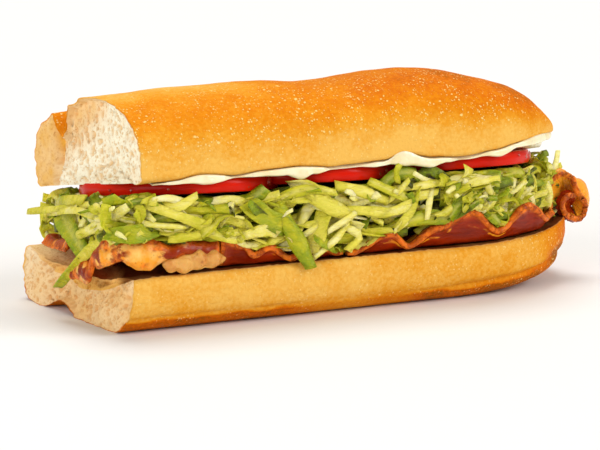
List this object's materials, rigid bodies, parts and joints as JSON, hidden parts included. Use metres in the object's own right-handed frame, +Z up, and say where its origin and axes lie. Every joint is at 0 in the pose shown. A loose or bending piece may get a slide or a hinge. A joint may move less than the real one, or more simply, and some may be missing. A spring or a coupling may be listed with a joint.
{
  "type": "submarine sandwich",
  "caption": "Submarine sandwich on a soft torn roll, filled with bacon, shredded lettuce, tomato slices and mayonnaise.",
  "frame": {"origin": "on the table under the middle of the sandwich's bounding box", "axes": "+X along the roll towards its rounded end, -Y the front side with the curled bacon, +Z up"},
  "size_m": [0.2052, 0.0815, 0.0796],
  "materials": {
    "crust_bottom": "baked crust, satin, pale golden with a browned base",
    "crust_top": "baked crust, satin, golden orange with fine pale blisters",
    "mayonnaise": "wet, glossy, cream",
    "tomato": "wet, glossy, red skin edge",
    "lettuce": "crisp, satin, pale green to white",
    "bacon": "fried, greasy, reddish brown with amber fat",
    "bacon_fat": "fried fat, greasy, pale cream with brown flecks"
  },
  "bodies": {
    "root": {"bread_bottom": "crust_bottom", "bread_top": "crust_top", "mayo": "mayonnaise", "tomato_left": "tomato", "tomato_middle": "tomato", "tomato_right": "tomato", "lettuce": "lettuce", "bacon_front_left": "bacon", "bacon_front_middle": "bacon", "bacon_front_right": "bacon", "bacon_back_left": "bacon", "bacon_back_right": "bacon", "bacon_fat_end": "bacon_fat"}
  },
  "joints": []
}
